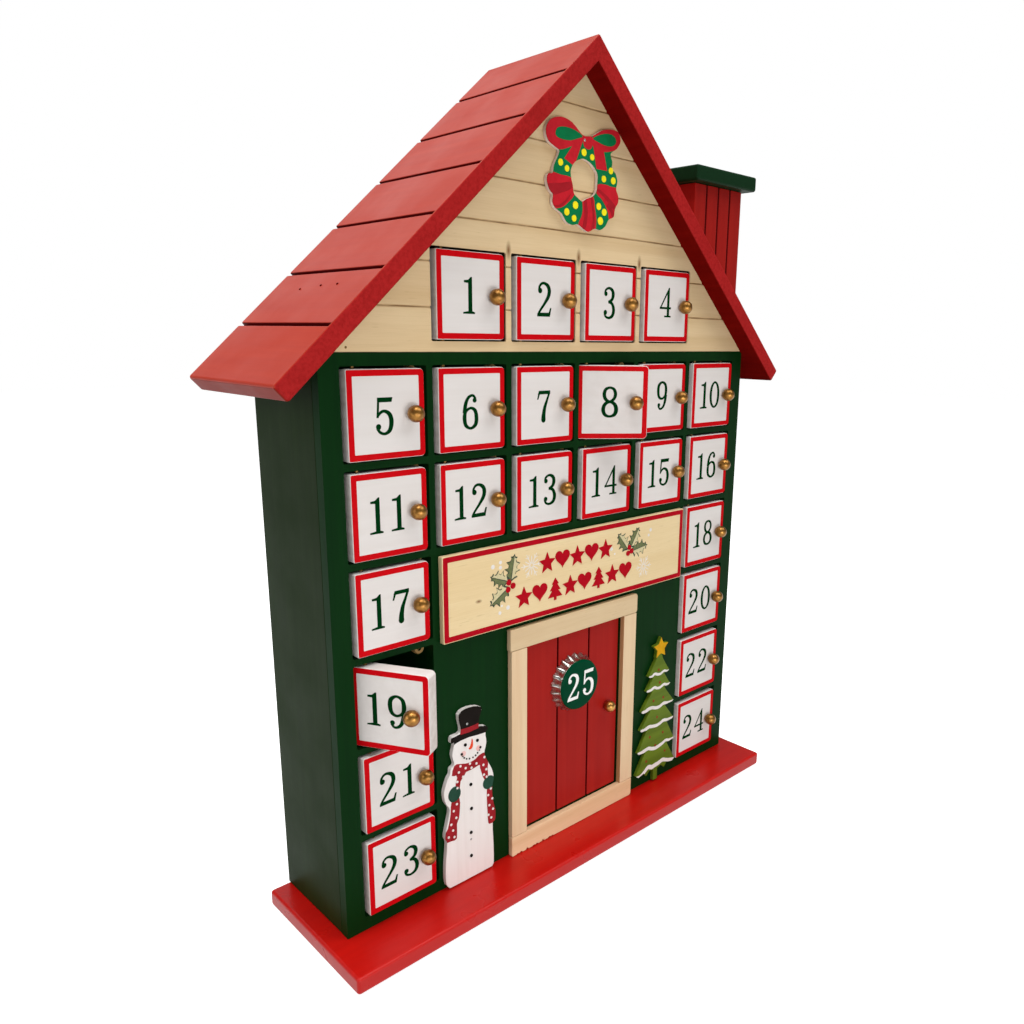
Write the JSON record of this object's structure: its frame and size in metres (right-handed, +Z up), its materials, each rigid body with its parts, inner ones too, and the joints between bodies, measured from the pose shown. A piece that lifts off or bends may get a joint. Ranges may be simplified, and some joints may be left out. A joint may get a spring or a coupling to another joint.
{
  "type": "house-shaped advent calendar",
  "caption": "Wooden house-shaped advent calendar: small compartments behind hinged number doors, with a framed front door, a pitched roof, a chimney and seasonal cut-out figures.",
  "frame": {"origin": "centre of the base board's underside, where the calendar stands", "axes": "+X to the viewer's right along the front, -Y out of the front, +Z up to the ridge"},
  "size_m": [0.3208, 0.0946, 0.4014],
  "materials": {
    "red_paint": "satin crimson paint on wood",
    "green_paint": "satin dark green paint on wood",
    "white_paint": "satin white paint on wood",
    "leaf_paint": "satin leaf green paint on wood",
    "bare_wood": "pale sawn birch, lightly sealed",
    "brass": "polished brass",
    "tinplate": "tinplate with an enamelled face"
  },
  "bodies": {
    "house": {"base_board": "red_paint", "floor_board": "green_paint", "side_panel_left": "green_paint", "side_panel_right": "green_paint", "back_panel": "green_paint", "front_panel": "green_paint", "gable_board": "bare_wood", "loft_floor": "green_paint", "loft_ceiling": "green_paint", "loft_divider_1": "green_paint", "loft_divider_2": "green_paint", "loft_divider_3": "green_paint", "upper_shelf": "green_paint", "lower_shelf": "green_paint", "row_divider_1": "green_paint", "row_divider_2": "green_paint", "row_divider_3": "green_paint", "row_divider_4": "green_paint", "row_divider_5": "green_paint", "rack_left": "green_paint", "rack_right": "green_paint", "roof_panel_left": "red_paint", "roof_panel_right": "red_paint", "chimney_stack": "red_paint", "chimney_cap": "green_paint", "sign_board": "bare_wood", "door_lintel": "bare_wood", "door_jamb_left": "bare_wood", "door_jamb_right": "bare_wood", "door_sill": "bare_wood", "snowman": "white_paint", "tree": "leaf_paint", "wreath": "green_paint"},
    "front_door": {"main_door": "red_paint", "main_door_knob": "brass", "crown_cap": "tinplate"},
    "door_01": {"number_door_01": "white_paint"},
    "door_02": {"number_door_02": "white_paint"},
    "door_03": {"number_door_03": "white_paint"},
    "door_04": {"number_door_04": "white_paint"},
    "door_05": {"number_door_05": "white_paint"},
    "door_06": {"number_door_06": "white_paint"},
    "door_07": {"number_door_07": "white_paint"},
    "door_08": {"number_door_08": "white_paint"},
    "door_09": {"number_door_09": "white_paint"},
    "door_10": {"number_door_10": "white_paint"},
    "door_11": {"number_door_11": "white_paint"},
    "door_12": {"number_door_12": "white_paint"},
    "door_13": {"number_door_13": "white_paint"},
    "door_14": {"number_door_14": "white_paint"},
    "door_15": {"number_door_15": "white_paint"},
    "door_16": {"number_door_16": "white_paint"},
    "door_17": {"number_door_17": "white_paint"},
    "door_18": {"number_door_18": "white_paint"},
    "door_19": {"number_door_19": "white_paint"},
    "door_20": {"number_door_20": "white_paint"},
    "door_21": {"number_door_21": "white_paint"},
    "door_22": {"number_door_22": "white_paint"},
    "door_23": {"number_door_23": "white_paint"},
    "door_24": {"number_door_24": "white_paint"}
  },
  "joints": [
    {"name": "front_door_hinge", "type": "hinge", "parent": "house", "child": "front_door", "pos_m": [-0.0265, -0.0134, 0.0702], "axis": [0, 0, -1], "range_deg": [0, 100]},
    {"name": "door_01_hinge", "type": "hinge", "parent": "house", "child": "door_01", "pos_m": [-0.0785, -0.0142, 0.2877], "axis": [0, 0, -1], "range_deg": [0, 115]},
    {"name": "door_02_hinge", "type": "hinge", "parent": "house", "child": "door_02", "pos_m": [-0.0352, -0.0142, 0.2877], "axis": [0, 0, -1], "range_deg": [0, 115]},
    {"name": "door_03_hinge", "type": "hinge", "parent": "house", "child": "door_03", "pos_m": [0.0081, -0.0142, 0.2877], "axis": [0, 0, -1], "range_deg": [0, 115]},
    {"name": "door_04_hinge", "type": "hinge", "parent": "house", "child": "door_04", "pos_m": [0.0514, -0.0142, 0.2877], "axis": [0, 0, -1], "range_deg": [0, 115]},
    {"name": "door_05_hinge", "type": "hinge", "parent": "house", "child": "door_05", "pos_m": [-0.1218, -0.0142, 0.2397], "axis": [0, 0, -1], "range_deg": [0, 115]},
    {"name": "door_06_hinge", "type": "hinge", "parent": "house", "child": "door_06", "pos_m": [-0.0785, -0.0142, 0.2397], "axis": [0, 0, -1], "range_deg": [0, 115]},
    {"name": "door_07_hinge", "type": "hinge", "parent": "house", "child": "door_07", "pos_m": [-0.0352, -0.0142, 0.2397], "axis": [0, 0, -1], "range_deg": [0, 115]},
    {"name": "door_08_hinge", "type": "hinge", "parent": "house", "child": "door_08", "pos_m": [0.0081, -0.0142, 0.2397], "axis": [0, 0, -1], "range_deg": [-36, 79]},
    {"name": "door_09_hinge", "type": "hinge", "parent": "house", "child": "door_09", "pos_m": [0.0514, -0.0142, 0.2397], "axis": [0, 0, -1], "range_deg": [0, 105]},
    {"name": "door_10_hinge", "type": "hinge", "parent": "house", "child": "door_10", "pos_m": [0.0947, -0.0142, 0.2397], "axis": [0, 0, -1], "range_deg": [0, 115]},
    {"name": "door_11_hinge", "type": "hinge", "parent": "house", "child": "door_11", "pos_m": [-0.1218, -0.0142, 0.1985], "axis": [0, 0, -1], "range_deg": [0, 115]},
    {"name": "door_12_hinge", "type": "hinge", "parent": "house", "child": "door_12", "pos_m": [-0.0785, -0.0142, 0.1985], "axis": [0, 0, -1], "range_deg": [0, 115]},
    {"name": "door_13_hinge", "type": "hinge", "parent": "house", "child": "door_13", "pos_m": [-0.0352, -0.0142, 0.1985], "axis": [0, 0, -1], "range_deg": [0, 115]},
    {"name": "door_14_hinge", "type": "hinge", "parent": "house", "child": "door_14", "pos_m": [0.0081, -0.0142, 0.1985], "axis": [0, 0, -1], "range_deg": [0, 115]},
    {"name": "door_15_hinge", "type": "hinge", "parent": "house", "child": "door_15", "pos_m": [0.0514, -0.0142, 0.1985], "axis": [0, 0, -1], "range_deg": [0, 115]},
    {"name": "door_16_hinge", "type": "hinge", "parent": "house", "child": "door_16", "pos_m": [0.0947, -0.0142, 0.1985], "axis": [0, 0, -1], "range_deg": [0, 115]},
    {"name": "door_17_hinge", "type": "hinge", "parent": "house", "child": "door_17", "pos_m": [-0.1218, -0.0142, 0.1573], "axis": [0, 0, -1], "range_deg": [0, 115]},
    {"name": "door_18_hinge", "type": "hinge", "parent": "house", "child": "door_18", "pos_m": [0.0947, -0.0142, 0.1573], "axis": [0, 0, -1], "range_deg": [0, 115]},
    {"name": "door_19_hinge", "type": "hinge", "parent": "house", "child": "door_19", "pos_m": [-0.1218, -0.0142, 0.1161], "axis": [0, 0, -1], "range_deg": [-60, 55]},
    {"name": "door_20_hinge", "type": "hinge", "parent": "house", "child": "door_20", "pos_m": [0.0947, -0.0142, 0.1161], "axis": [0, 0, -1], "range_deg": [0, 115]},
    {"name": "door_21_hinge", "type": "hinge", "parent": "house", "child": "door_21", "pos_m": [-0.1218, -0.0142, 0.0749], "axis": [0, 0, -1], "range_deg": [0, 115]},
    {"name": "door_22_hinge", "type": "hinge", "parent": "house", "child": "door_22", "pos_m": [0.0947, -0.0142, 0.0749], "axis": [0, 0, -1], "range_deg": [0, 115]},
    {"name": "door_23_hinge", "type": "hinge", "parent": "house", "child": "door_23", "pos_m": [-0.1218, -0.0142, 0.0337], "axis": [0, 0, -1], "range_deg": [0, 115]},
    {"name": "door_24_hinge", "type": "hinge", "parent": "house", "child": "door_24", "pos_m": [0.0947, -0.0142, 0.0337], "axis": [0, 0, -1], "range_deg": [0, 115]}
  ]
}
